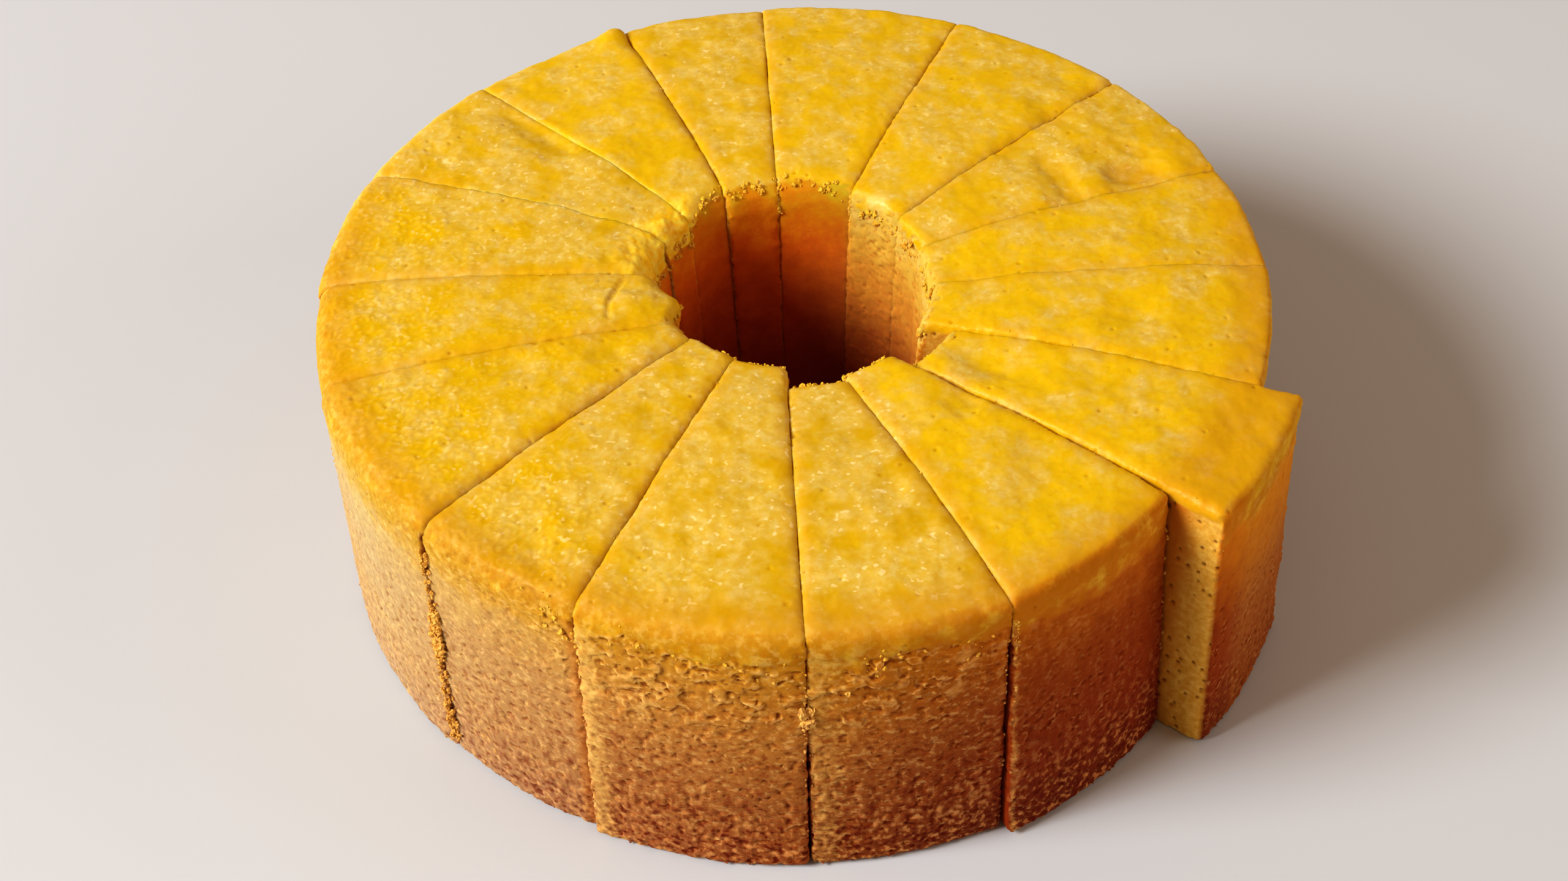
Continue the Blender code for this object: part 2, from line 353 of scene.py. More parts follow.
def close_cuts(piece, planes, places):
    """Slide the surfaces beside each cut towards it, so that only a crease or a narrow gap is left."""
    radii = radii_of(places)
    tip = 1.0 - rise(HOLE_RADIUS, HOLE_RADIUS + 8.0, radii)
    for number, (normal, distance, direction) in enumerate(planes):
        slide = np.full(len(places), USUAL_CLOSING)
        for cut_direction, top, closing in GAPING_CUTS:
            if abs(cut_direction - direction) < SAME_CUT:
                slide = closing * mix(0.3, 1.0, rise(top - 3.0, top + 3.0, places[:, 2]))
        if direction > BACK_CUTS_FROM or direction < BACK_CUTS_TO:
            below_rim = 1.0 - rise(HEIGHT - 9.0, HEIGHT - 4.0, places[:, 2])
            slide = mix(slide, BACK_SIDE_CLOSING, below_rim * rise(96.0, 104.0, radii))
        slide = (slide + TIP_CLOSING * tip) * rise(0.5, 2.0, places[:, 2])
        beside = 1.0 - rise(0.5, 4.0, distance - places @ normal)
        group = f"beside_cut_{number}"
        set_group(piece, group, beside * slide / WIDEST_CLOSING)
        press(piece, None, WIDEST_CLOSING * normal[0], group, level=0.0, direction="X")
        press(piece, None, WIDEST_CLOSING * normal[1], group, level=0.0, direction="Y")


def edge_tones(node_name, planes, places):
    """How cream, above 0, or dark with painted shade, below 0, a slice's edges are beside its cuts."""
    tones = np.zeros(len(places))
    for normal, distance, direction in planes:
        for name, cut_direction, breadth, tone in TONED_EDGES:
            if name == node_name and abs(cut_direction - direction) < SAME_CUT:
                tones += tone * (1.0 - rise(0.2 * breadth, breadth, distance - places @ normal))
    return tones


def facing(planes, normals):
    """How squarely normals face the way of one of the knife cuts."""
    return np.maximum(*(normals @ normal for normal, distance, direction in planes))


def radii_of(places):
    """Distances of places from the ring's axis."""
    return np.hypot(places[:, 0], places[:, 1])


def outward(places):
    """Unit directions in plan from the ring's axis."""
    radii = radii_of(places)
    return np.stack([places[:, 0] / radii, places[:, 1] / radii, np.zeros(len(places))], axis=1)


def rind_depth(places):
    """How far places lie in from the outer side or the hole wall of their slice, whichever is nearer."""
    radii = radii_of(places)
    level = np.clip((places[:, 2] / 4.0).astype(int), 0, 20)
    outer = np.zeros(21)
    inner = np.full(21, 2.0 * RIM_RADIUS)
    np.maximum.at(outer, level, radii)
    np.minimum.at(inner, level, radii)
    return np.minimum(outer[level] - radii, radii - inner[level])


def copy_solid(node, name):
    """A merged copy of a solid, free of the frame."""
    select_only(node)
    bpy.ops.object.duplicate()
    piece = bpy.context.view_layer.objects.active
    piece.name = name
    piece.data.name = name
    for key in list(piece.keys()):
        del piece[key]
    piece.parent = None
    piece.data.materials.clear()
    bpy.ops.object.mode_set(mode="EDIT")
    bpy.ops.mesh.select_all(action="SELECT")
    bpy.ops.mesh.remove_doubles(threshold=0.01 * MM)
    bpy.ops.mesh.tris_convert_to_quads()
    bpy.ops.object.mode_set(mode="OBJECT")
    return piece


def remesh(piece):
    """Even quads all over the slice."""
    apply_modifier(piece, "REMESH", mode="VOXEL", voxel_size=REMESH_SIZE * MM)


def soften(piece, times):
    """Relax the surface a little."""
    apply_modifier(piece, "SMOOTH", factor=0.5, iterations=times)


def hidden_faces(piece, planes, node_name, margin=0.0):
    """Which faces nobody sees, in by a margin: those of the underside and of the hidden part of the cuts."""
    centres, normals = face_facts(piece)[:2]
    radii = radii_of(centres)
    rind = rind_depth(centres)
    depth = depth_behind(planes, centres)
    in_cut = (facing(planes, normals) > 0.8) & (depth < 3.0)
    in_cut &= (centres[:, 2] < HEIGHT - 5.0 - margin) & (rind > 3.0 + margin)
    if node_name in SHOWN_CUT_FACES:
        low, high = SHOWN_CUT_FACES[node_name]
        in_cut &= (radii < low - margin) | (radii > high + margin)
    below = normals[:, 2] < -0.8
    if margin > 0.0:
        in_cut &= centres[:, 2] > margin
        below &= (rind > margin) & (depth > margin)
    return in_cut | below


def edit_faces(piece, chosen):
    """Go into edit mode with some of the faces selected."""
    select_only(piece)
    piece.data.polygons.foreach_set("select", chosen)
    bpy.ops.object.mode_set(mode="EDIT")
    bpy.ops.mesh.select_mode(type="FACE")


def thin_hidden_faces(piece, planes, node_name):
    """Make do with few faces where nobody sees them."""
    edit_faces(piece, hidden_faces(piece, planes, node_name, HIDDEN_MARGIN))
    bpy.ops.mesh.decimate(ratio=HIDDEN_SHARE)
    bpy.ops.object.mode_set(mode="OBJECT")


def refine_shown_faces(piece, planes, node_name):
    """Divide the faces that can be seen: all but the underside and the hidden part of the cuts."""
    edit_faces(piece, ~hidden_faces(piece, planes, node_name))
    bpy.ops.mesh.subdivide(number_cuts=1)
    bpy.ops.object.mode_set(mode="OBJECT")


class Zones:
    """Where a slice has skin, outer side, hole wall and cut faces, and how they vary, for each vertex."""

    def __init__(self, piece, planes):
        """Work out all zones of a slice whose knife cuts are known."""
        places = self.places = vertex_places(piece)
        radii = self.radii = radii_of(places)
        normals = vertex_normals(piece)
        out = (normals * outward(places)).sum(axis=1)
        angles = np.arctan2(places[:, 1], places[:, 0])
        self.depth = depth_behind(planes, places)
        self.rind = rind_depth(places)
        height = places[:, 2]

        self.cut = rise(0.55, 0.85, facing(planes, normals))
        self.cut *= 1.0 - rise(2.0, 3.0, self.depth)
        self.inward = rise(-0.2, 0.3, -out)
        self.side = rise(0.25, 0.6, out) * (radii > MIDDLE_RADIUS) * (1.0 - self.cut)
        self.turned = rise(0.0, 1.0, out) * (radii > MIDDLE_RADIUS)
        self.hole = rise(0.1, 0.4, -out) * (radii < MIDDLE_RADIUS) * (1.0 - self.cut)
        self.wall = np.clip(self.side + self.hole, 0.0, 1.0)

        turn = (np.degrees(angles) - TORN_WALL_MIDDLE + 180.0) % 360.0 - 180.0
        torn_open = 1.0 - rise(-5.0, 5.0, np.abs(turn) - TORN_WALL_REACH)
        self.torn_wall = self.hole * torn_open
        # Browning of the side, which also carries painted light on the left and painted shade on the right
        self.browning_and_shade = by_direction(SIDE_BROWNING_AND_SHADE, angles)
        self.tears = by_direction(SIDE_TEARS, angles)

        high = height > HEIGHT - 26.0
        edges = high & (self.wall + self.cut > 0.05)
        broad = noise_at(places, 12.0, 40.0, edges)
        coarse = noise_at(places, 4.6, 10.0, edges)
        fine = noise_at(places, 1.8, 20.0, edges)
        lip = HEIGHT - by_direction(SIDE_LIPS, angles) + 3.0 * broad + 2.6 * coarse + 1.6 * fine
        lip *= self.side
        lip += self.hole * (HEIGHT - by_direction(HOLE_LIPS, angles) + 1.8 * coarse + 1.0 * fine)
        lip += self.cut * (HEIGHT - 3.2 + 0.8 * coarse)
        lip += (1.0 - np.clip(self.wall + self.cut, 0.0, 1.0)) * (HEIGHT - 14.0)
        self.lip = lip
        self.closed = closed_share(planes, places, radii)
        softness = mix(0.5, 3.0, np.clip(self.side * (1.0 - self.tears) + 0.7 * self.torn_wall, 0.0, 1.0))
        self.skin = rise(-softness, softness, height - lip) * rise(-0.6, -0.2, normals[:, 2])
        fringe = (radii < MIDDLE_RADIUS) & (self.rind < 10.0) & (height > HEIGHT - 10.0)
        border = by_direction(HOLE_FRINGES, angles)
        border += noise_at(places, 3.2, 70.0, fringe) * 1.6 + noise_at(places, 1.3, 75.0, fringe) * 1.0
        fringe = fringe * (1.0 - rise(-0.3, 0.3, self.rind - border))
        self.skin *= 1.0 - fringe
        self.bare_top = fringe * (1.0 - self.hole)

        on_top = self.skin > 0.05
        beside_rim = rise(78.0, 104.0, radii)
        left = rise(0.35, 0.9, np.cos(angles - math.radians(200.0)))
        patches = rise(0.1, 0.4, noise_at(places, 11.0, 50.0, on_top))
        calm_edge = rise(1.0, 4.0, self.depth)
        glossy = np.clip(0.35 * patches + left * (0.35 + 0.65 * beside_rim), 0.0, 1.0)
        self.wet = self.skin * calm_edge * glossy
        self.paleness = by_direction(SKIN_PALENESS, angles)
        turn = np.degrees(angles) % 360.0
        hanging = rise(LOBES_FROM - 6.0, LOBES_FROM + 6.0, turn)
        hanging *= 1.0 - rise(LOBES_TO - 6.0, LOBES_TO + 6.0, turn)
        near_hole = 1.0 - rise(HOLE_RADIUS + 4.0, HOLE_RADIUS + 14.0, radii)
        self.lobes = self.skin * hanging * near_hole * (height > HEIGHT - 20.0)

        upper = rise(HEIGHT - 44.0, HEIGHT - 22.0, height)
        standing = rise(0.2, 1.2, height)
        bare = 1.0 - self.skin
        self.torn = bare * (self.side * upper * self.tears + 0.35 * self.torn_wall) * standing
        self.porous = bare * (self.side * mix(1.0, 0.45, upper) + 0.7 * self.torn_wall) * standing
        self.grainy = bare * self.side * (1.0 - rise(16.0, 44.0, height)) * standing
        self.ragged = 1.0 - rise(0.8, 2.6, self.depth)
        self.ragged *= np.clip(self.wall + 0.3 * self.skin, 0.0, 1.0)
        self.ragged += self.cut * (1.0 - rise(1.2, 3.2, self.rind))
        self.ragged *= 1.0 - 0.3 * self.closed - 0.5 * self.hole * (1.0 - self.closed)
        self.ragged *= standing


def texture(name, kind, size, **settings):
    """A texture for pressing relief into a surface, its features of a size in millimetres."""
    pattern = bpy.data.textures.new(name, kind)
    pattern.noise_scale = size * MM
    return set_all(pattern, settings)


def shape_levels(pattern, *stops):
    """Give a texture levels of its own: each stop is a value of the pattern and the level it gets."""
    pattern.use_color_ramp = True
    set_stops(pattern.color_ramp, stops)
    return pattern


def press(piece, pattern, height, group, level=0.5, guide=None, direction="NORMAL"):
    """Raise or press in the surface by a texture, in millimetres, where a vertex group has weight."""
    coordinates = {}
    if guide is not None:
        coordinates = {"texture_coords": "OBJECT", "texture_coords_object": guide}
    apply_modifier(
        piece, "DISPLACE", texture=pattern, strength=height * MM, mid_level=level,
        vertex_group=group, direction=direction, **coordinates,
    )


def flat_guide():
    """An empty that squeezes textures upright, so that pores lie flat."""
    bpy.ops.object.empty_add(type="PLAIN_AXES", location=(0.0, 0.0, 0.0))
    guide = bpy.context.view_layer.objects.active
    guide.scale = (1.0, 1.0, 0.75)
    bpy.context.view_layer.update()
    return guide


def relief_patterns():
    """Textures of the baked surfaces."""
    flakes = texture("flakes", "CLOUDS", 5.4, noise_depth=2)
    scallops = texture("scallops", "CLOUDS", 3.4, noise_depth=2)
    pores = texture("pores", "CLOUDS", 2.4, noise_depth=1)
    return {
        "swell": texture("swell", "CLOUDS", 9.0, noise_depth=1),
        "dimples": texture("dimples", "CLOUDS", 3.2, noise_depth=1),
        "beads": texture("beads", "CLOUDS", 1.7, noise_depth=0, noise_type="HARD_NOISE"),
        "grain": texture("grain", "CLOUDS", 0.9, noise_depth=1),
        "pinholes": shape_levels(texture("pinholes", "VORONOI", 6.0), (0.05, 1.0), (0.12, 0.0)),
        "flakes": shape_levels(flakes, (0.53, 0.0), (0.56, 1.0)),
        "lobes": texture("lobes", "CLOUDS", 8.0, noise_depth=1),
        "scallops": shape_levels(scallops, (0.36, 1.0), (0.39, 0.0)),
        "pores": shape_levels(pores, (0.28, 1.0), (0.40, 0.0)),
        "crumb": texture("crumb", "CLOUDS", 1.9, noise_depth=2),
        "lumps": texture("lumps", "CLOUDS", 2.4, noise_depth=2),
        "cells": shape_levels(texture("cells", "VORONOI", 3.4), (0.13, 1.0), (0.26, 0.0)),
    }


def hollow_weights(places):
    """Weights that press the small hollows of the skin, and the deepest of their depths."""
    deepest = max(hollow[3] for hollow in SKIN_HOLLOWS)
    weights = np.zeros(len(places))
    for start, end, reach, depth in SKIN_HOLLOWS:
        start, end = np.array(start, float), np.array(end, float)
        along = end - start
        share = np.clip((places[:, :2] - start) @ along / (along @ along), 0.0, 1.0)
        distance = np.linalg.norm(places[:, :2] - start - share[:, None] * along, axis=1)
        near = 1.0 - rise(0.3 * reach, 1.2 * reach, distance)
        weights = np.maximum(weights, depth / deepest * near)
    return weights * (places[:, 2] > HEIGHT - 8.0), deepest


def bake_surface(piece, node_name, planes, patterns, guide):
    """Model skin, lip, pores and cut crumb on a slice, and note them for its material."""
    zones = Zones(piece, planes)
    height = zones.places[:, 2]
    hollows, deepest = hollow_weights(zones.places)
    hollows *= rise(0.6, 3.6, zones.depth)
    for name in ("skin", "wet", "lobes", "grainy", "ragged"):
        set_group(piece, name, getattr(zones, name))
    set_group(piece, "hollows", zones.skin * hollows)
    set_group(piece, "torn", zones.torn + zones.bare_top)
    set_group(piece, "porous", zones.porous + zones.bare_top)
    high = rise(HEIGHT - 16.0, HEIGHT - 6.0, height)
    corner = (1.0 - np.clip(zones.depth / 3.4, 0.0, 1.0)) ** 2
    set_group(piece, "fill", zones.closed * corner * (1.0 - zones.wall) * high)
    set_group(piece, "crumb", (1.0 - zones.skin) * zones.cut * (height > 1.0))

    close_cuts(piece, planes, zones.places)
    press(piece, None, CLOSED_FILL, "fill", level=0.0, direction="Z")
    press(piece, None, -deepest, "hollows", level=0.0)
    press(piece, patterns["swell"], 0.9, "skin")
    press(piece, patterns["lumps"], 1.1, "ragged")
    press(piece, patterns["lobes"], 2.6, "lobes")
    press(piece, patterns["lumps"], 0.9, "lobes")

    before = vertex_places(piece)
    normals = vertex_normals(piece)
    press(piece, patterns["dimples"], 0.28, "skin")
    press(piece, patterns["beads"], 0.3, "wet", level=0.3)
    press(piece, patterns["grain"], 0.1, "skin")
    press(piece, patterns["pinholes"], -0.4, "skin", level=0.0)
    press(piece, patterns["flakes"], 0.5, "torn", level=0.3, guide=guide)
    press(piece, patterns["scallops"], -0.3, "torn", level=0.0, guide=guide)
    press(piece, patterns["pores"], -0.4, "porous", level=0.0, guide=guide)
    press(piece, patterns["crumb"], 0.35, "porous", guide=guide)
    press(piece, patterns["crumb"], 0.6, "grainy")
    press(piece, patterns["cells"], -0.5, "crumb", level=0.0)
    press(piece, patterns["crumb"], 0.4, "crumb")
    # Relief of the pressed surface, which the material paints paler where raised as painted highlight and
    # darker in hollows as painted shade
    lift = ((vertex_places(piece) - before) * normals).sum(axis=1)
    relief = 0.5 + local_height(piece, lift, RELIEF_ROUNDS) / RELIEF_SPAN

    # Painted shade beside the cuts and in the hollows of the skin
    beside_cut = 1.0 - rise(0.0, 5.0, zones.depth)
    edge = 0.7 * beside_cut * (1.0 - zones.closed) + hollows
    crust = np.where(zones.radii < MIDDLE_RADIUS, 2.0, 0.3)
    crumb = zones.cut * np.clip((zones.rind - crust) / 1.5, 0.0, 1.0)
    rim = rise(106.0, 119.0, zones.radii)
    pale = zones.torn_wall + zones.bare_top
    below_rim = 1.0 - rise(HEIGHT - 8.0, HEIGHT - 2.0, height)
    seam = 0.5 + 0.5 * zones.turned * below_rim * edge_tones(node_name, planes, zones.places)
    low, high = SHOWN_CUT_FACES.get(node_name, NO_CUT_SHOWN)
    shown = rise(low - 4.0, low, zones.radii) * (1.0 - rise(high, high + 4.0, zones.radii))
    # Painted shadow of the neighbouring slice on the shown cut face, fading out towards the outer side
    sheltered = (low > MIDDLE_RADIUS) * (1.0 - rise(119.0, 128.0, zones.radii))
    set_marks(piece, {
        "skin": zones.skin, "hole": zones.hole, "cut": crumb, "side": zones.turned,
        "relief": relief, "edge": edge, "pale": pale, "paleness": zones.paleness,
        "browning_and_shade": zones.browning_and_shade, "wet": zones.wet, "seam": seam, "rim": rim,
        "shown": shown, "lobes": zones.lobes * zones.inward, "torn": zones.torn, "sheltered": sheltered,
    })
    piece.vertex_groups.clear()
    return zones


def dress_slice(node_name, patterns, guide, material):
    """Make the piece that stands for one solid slice."""
    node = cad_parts[node_name]
    planes = knife_planes(node)
    piece = copy_solid(node, node_name.replace("slice", "sponge_slice"))
    remesh(piece)
    soften(piece, 2)
    thin_hidden_faces(piece, planes, node_name)
    refine_shown_faces(piece, planes, node_name)
    soften(piece, 1)
    zones = bake_surface(piece, node_name, planes, patterns, guide)
    piece.data.materials.append(material)
    select_only(piece)
    bpy.ops.object.shade_smooth()
    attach(piece, "root")
    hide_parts(node_name)
    return piece, zones


# ------------------------ loose crumbs

def model_crumbs():
    """A few small lumps that all loose crumbs are copied from."""
    lumps = []
    for number in range(CRUMB_SHAPES):
        bpy.ops.object.select_all(action="DESELECT")
        bpy.ops.mesh.primitive_ico_sphere_add(subdivisions=2, radius=1.0 * MM, location=(0.0, 0.0, 0.0))
        lump = bpy.context.view_layer.objects.active
        lump.name = f"lump_{number}"
        bpy.ops.object.mode_set(mode="EDIT")
        bpy.ops.mesh.select_all(action="SELECT")
        bpy.ops.transform.vertex_random(offset=0.45 * MM, uniform=0.5, normal=0.5, seed=number + 3)
        bpy.ops.object.mode_set(mode="OBJECT")
        lumps.append(lump)
    return lumps


def crumb_sites(piece, zones, node_name, chance):
    """Where loose crumbs sit on a slice: places, normals and sizes."""
    places = vertex_places(piece)
    normals = vertex_normals(piece)
    z = places[:, 2]
    seam_count = FRONT_CUT_CRUMBS if node_name in FRONT_SLICES else OTHER_CUT_CRUMBS
    # Which vertices crumbs lie on, how many there are, and their smallest and largest size
    stretches = (
        ((np.abs(z - zones.lip) < 3.0) & (zones.side * zones.tears > 0.5), 16, 0.15, 0.4),
        ((np.abs(z - zones.lip + 3.0) < 4.0) & (zones.side * zones.tears > 0.6), 9, 0.4, 0.9),
        ((zones.depth < 1.2) & (z > HEIGHT - 2.5) & (zones.skin > 0.5), 8, 0.12, 0.3),
        ((zones.depth < 1.0) & (zones.side > 0.3) & (z < HEIGHT - 10.0) & (z > 3.0), seam_count, 0.2, 0.55),
        ((zones.bare_top > 0.3) & (zones.rind < 3.0), 14, 0.2, 0.5),
        ((z < 1.5) & (zones.side > 0.3), 8, 0.2, 0.5),
        ((np.abs(z - zones.lip) < 1.6) & (zones.hole > 0.5), 26, 0.2, 0.9),
    )
    centre, reach = CRUMB_BLOB
    blob = np.linalg.norm(places - np.array(centre), axis=1) < reach
    stretches += ((blob & (zones.depth < 1.5), 22, 0.6, 1.3),)
    cut_direction, reaches = FILLED_CUT
    angles = np.degrees(np.arctan2(places[:, 1], places[:, 0])) % 360.0
    filled = (np.abs(angles - cut_direction) < 4.0) & (zones.depth < reaches.get(node_name, 0.0))
    filled &= zones.side > 0.3
    for bottom, top, count, size in FILLED_CUT_CRUMBS:
        stretches += ((filled & (z > bottom) & (z < top), count, 0.5 * size, size),)
    places = places + 0.5 * filled[:, None] * outward(places)
    sites = []
    for where, count, small, large in stretches:
        rows = np.nonzero(where)[0]
        for pick in range(count if len(rows) else 0):
            row = rows[chance.randrange(len(rows))]
            sites.append((places[row], normals[row], chance.uniform(small, large)))
    return sites


def scatter_crumbs(name, sites, material, chance):
    """Copy the modelled lumps to the sites and join them to one piece."""
    lumps = model_crumbs()
    copies = []
    for place, normal, size in sites:
        lump = chance.choice(lumps)
        crumb = bpy.data.objects.new("crumb", lump.data.copy())
        turn = Euler([chance.uniform(0.0, 2.0 * math.pi) for axis in range(3)]).to_matrix().to_4x4()
        breadth = size * chance.uniform(0.5, 1.0)
        thickness = size * chance.uniform(0.4, 0.9)
        stretch = Matrix.Diagonal((size, breadth, thickness, 1.0))
        centre = Vector(place + normal * 0.1 * size) * MM
        centre.z = max(centre.z, 0.75 * size * MM)
        crumb.data.transform(Matrix.Translation(centre) @ turn @ stretch)
        bpy.context.scene.collection.objects.link(crumb)
        copies.append(crumb)
    for lump in lumps:
        bpy.data.objects.remove(lump, do_unlink=True)
    bpy.ops.object.select_all(action="DESELECT")
    for crumb in copies:
        crumb.select_set(True)
    bpy.context.view_layer.objects.active = copies[0]
    bpy.ops.object.join()
    crumbs = bpy.context.view_layer.objects.active
    crumbs.name = name
    crumbs.data.name = name
    crumbs.data.materials.append(material)
    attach(crumbs, "root")
    return crumbs


# ------------------------ materials

class Shader:
    """A material's node tree, with short calls for the nodes used here."""

    def __init__(self, name):
        """Start an empty material."""
        self.material = bpy.data.materials.new(name)
        self.material.use_nodes = True
        self.tree = self.material.node_tree
        self.principled = self.tree.nodes["Principled BSDF"]

    def node(self, kind, **settings):
        """A new node with these settings."""
        return set_all(self.tree.nodes.new(kind), settings)

    def feed(self, socket, value):
        """Link or set an input socket."""
        if isinstance(value, bpy.types.NodeSocket):
            self.tree.links.new(value, socket)
        else:
            socket.default_value = value

    def surface(self, name, value):
        """Link or set an input of the material itself."""
        self.feed(self.principled.inputs[name], value)

    def places(self, flat=1.0):
        """Object coordinates, squeezed upright by a factor."""
        coordinates = self.node("ShaderNodeTexCoord").outputs["Object"]
        if flat == 1.0:
            return coordinates
        mapping = self.node("ShaderNodeMapping")
        self.feed(mapping.inputs["Vector"], coordinates)
        mapping.inputs["Scale"].default_value = (1.0, 1.0, flat)
        return mapping.outputs[0]

    def read_marks(self):
        """All marks of the surface, as read from the vertex attributes."""
        marks = SimpleNamespace()
        for name, parts in SURFACE_MARKS.items():
            made = self.node("ShaderNodeAttribute", attribute_name=name)
            colours = self.node("ShaderNodeSeparateColor")
            self.feed(colours.inputs["Color"], made.outputs["Color"])
            set_all(marks, dict(zip(parts, (*colours.outputs, made.outputs["Alpha"]))))
        return marks

    def noise(self, places, size, detail=2.0, roughness=0.5):
        """Noise with features of a size in millimetres."""
        made = self.node("ShaderNodeTexNoise")
        self.feed(made.inputs["Vector"], places)
        made.inputs["Scale"].default_value = 1.0 / (size * MM)
        made.inputs["Detail"].default_value = detail
        made.inputs["Roughness"].default_value = roughness
        return made.outputs[0]

    def ramp(self, value, *stops):
        """Colour or grey ramp of (position, colour) stops."""
        made = self.node("ShaderNodeValToRGB")
        set_stops(made.color_ramp, stops)
        self.feed(made.inputs["Fac"], value)
        return made.outputs["Color"]

    def blend(self, share, first, second, kind="MIX"):
        """Mix two colours, each a socket, three screen values or a grey level."""
        made = self.node("ShaderNodeMix", data_type="RGBA", blend_type=kind)
        self.feed(made.inputs[0], share)
        for socket, colour in zip(made.inputs[6:8], (first, second)):
            self.feed(socket, colour if isinstance(colour, bpy.types.NodeSocket) else linear(colour))
        return made.outputs[2]

    def tint(self, base, colour, value, *stops):
        """Lay a colour over a base as far as a ramp of a value says."""
        return self.blend(self.ramp(value, *stops), base, colour)

    def math(self, kind, first, second):
        """Reckon with two values."""
        made = self.node("ShaderNodeMath", operation=kind)
        self.feed(made.inputs[0], first)
        self.feed(made.inputs[1], second)
        return made.outputs[0]

    def times(self, first, second):
        """One value times another."""
        return self.math("MULTIPLY", first, second)

    def less(self, first, second):
        """One value less another."""
        return self.math("SUBTRACT", first, second)

    def most(self, first, second):
        """The larger of two values."""
        return self.math("MAXIMUM", first, second)

    def split(self, places):
        """The three coordinates of places."""
        parts = self.node("ShaderNodeSeparateXYZ")
        self.feed(parts.inputs[0], places)
        return parts.outputs

    def height(self, places, patchy):
        """Height from 0 at the underside to 1 at the top, its levels broken up by noise."""
        level = self.math("DIVIDE", self.split(places)[2], HEIGHT * MM)
        broken = self.times(self.less(patchy, 0.5), 0.3)
        return self.math("ADD", level, broken)

    def bump(self, height, strength, distance):
        """Normals of a fine relief, its height in millimetres."""
        made = self.node("ShaderNodeBump")
        self.feed(made.inputs["Height"], height)
        self.feed(made.inputs["Strength"], strength)
        made.inputs["Distance"].default_value = distance * MM
        return made.outputs["Normal"]

    def scatter_light(self, weight):
        """Soft light inside the sponge."""
        self.surface("Subsurface Weight", weight)
        self.surface("Subsurface Radius", (1.0, 0.5, 0.15))
        self.surface("Subsurface Scale", 2.5 * MM)


def depth_ramp(shader, height, *stops):
    """Colour ramp by depth: each stop is a depth below the top in millimetres and a colour."""
    return shader.ramp(height, *((1.0 - depth / HEIGHT, colour) for depth, colour in reversed(stops)))


def skin_colour(shader, places, marks):
    """Golden yellow, deeper at the rim, with painted shade beside cuts, in hollows and low relief, painted
    highlight on raised relief and as glints, and pale where the skin is thin.
    """
    blend, tint, ramp, times = shader.blend, shader.tint, shader.ramp, shader.times
    shift = times(shader.less(marks.paleness, 0.5), 0.14)
    broad = shader.math("ADD", shader.noise(places, 9.0, 3.0, 0.55), shift)
    deep = blend(marks.paleness, (230, 199, 0), (214, 180, 0))
    gold = tint(deep, (221, 195, 90), broad, (0.40, 0.0), (0.60, 1.0))
    thin = ramp(broad, (0.46, 0.0), (0.58, 1.0))
    mottled = shader.noise(places, 2.2, 3.0, 0.6)
    # Pale worm marks where the skin is thin, partly painted highlight on its wrinkles
    worms = times(ramp(mottled, (0.50, 0.0), (0.62, 0.45)), thin)
    gold = blend(worms, gold, (228, 212, 142))
    gold = tint(gold, (217, 180, 0), mottled, (0.36, 0.4), (0.48, 0.0))
    # Painted shade: deeper orange where the relief is low
    gold = tint(gold, (214, 168, 4), marks.relief, (0.2, 0.5), (0.5, 0.0))
    specks = shader.noise(places, 1.8, 1.0)
    patches = shader.most(thin, marks.wet)
    patches = ramp(patches, (0.3, 0.0), (0.8, 1.0))
    glint = times(ramp(specks, (0.63, 0.0), (0.70, 1.0)), patches)
    glint = times(glint, ramp(marks.paleness, (0.2, 0.2), (0.9, 0.7)))
    gold = blend(glint, gold, (242, 228, 172))
    # Painted highlight: paler where the relief is raised
    gold = tint(gold, (228, 212, 135), marks.relief, (0.5, 0.0), (0.85, 0.6))
    deep_rim = times(marks.rim, shader.less(1.0, marks.back))
    gold = blend(times(deep_rim, 0.65), gold, (208, 160, 12))
    # Painted shade: deeper orange beside cuts and in hollows
    gold = blend(times(marks.edge, 0.4), gold, (210, 156, 14))
    # Painted light: the lobes hanging into the hole are brighter yellow, as if lit
    lobe = ramp(mottled, (0.38, (246, 204, 22)), (0.6, (252, 226, 98)))
    gold = blend(marks.lobes, gold, lobe)

    # The band where the skin bends down onto the side, its colours by direction partly painted light on the
    # left and painted shade on the right
    band = blend(marks.left, (188, 134, 14), (184, 150, 46))
    band = blend(marks.right, band, (199, 128, 16))
    band = tint(band, (222, 182, 66), marks.patchy, (0.5, 0.0), (0.66, 0.7))
    band = tint(band, (190, 124, 4), mottled, (0.36, 0.5), (0.5, 0.0))
    # Pale worm marks on the band, partly painted highlight
    away_from_right = ramp(marks.right, (0.0, 1.0), (0.6, 0.1))
    worms = times(ramp(mottled, (0.5, 0.0), (0.62, 0.4)), away_from_right)
    band = blend(worms, band, (232, 202, 124))
    band = blend(marks.cream, band, (226, 196, 112))
    # Painted shade: darker orange on the band beside some cuts
    band = tint(band, (204, 132, 4), marks.seam, (0.0, 0.8), (0.48, 0.0))
    back_edge = times(marks.back, ramp(marks.height, (0.88, 0.0), (0.98, 1.0)))
    band = blend(back_edge, band, (226, 204, 116))
    at_rim = ramp(marks.browning_and_shade, (0.3, 0.95), (0.42, 0.6), (0.72, 0.6), (0.95, 0.95))
    share = shader.most(at_rim, ramp(marks.height, (0.90, 1.0), (1.0, 0.0)))
    return blend(times(marks.side, share), gold, band)


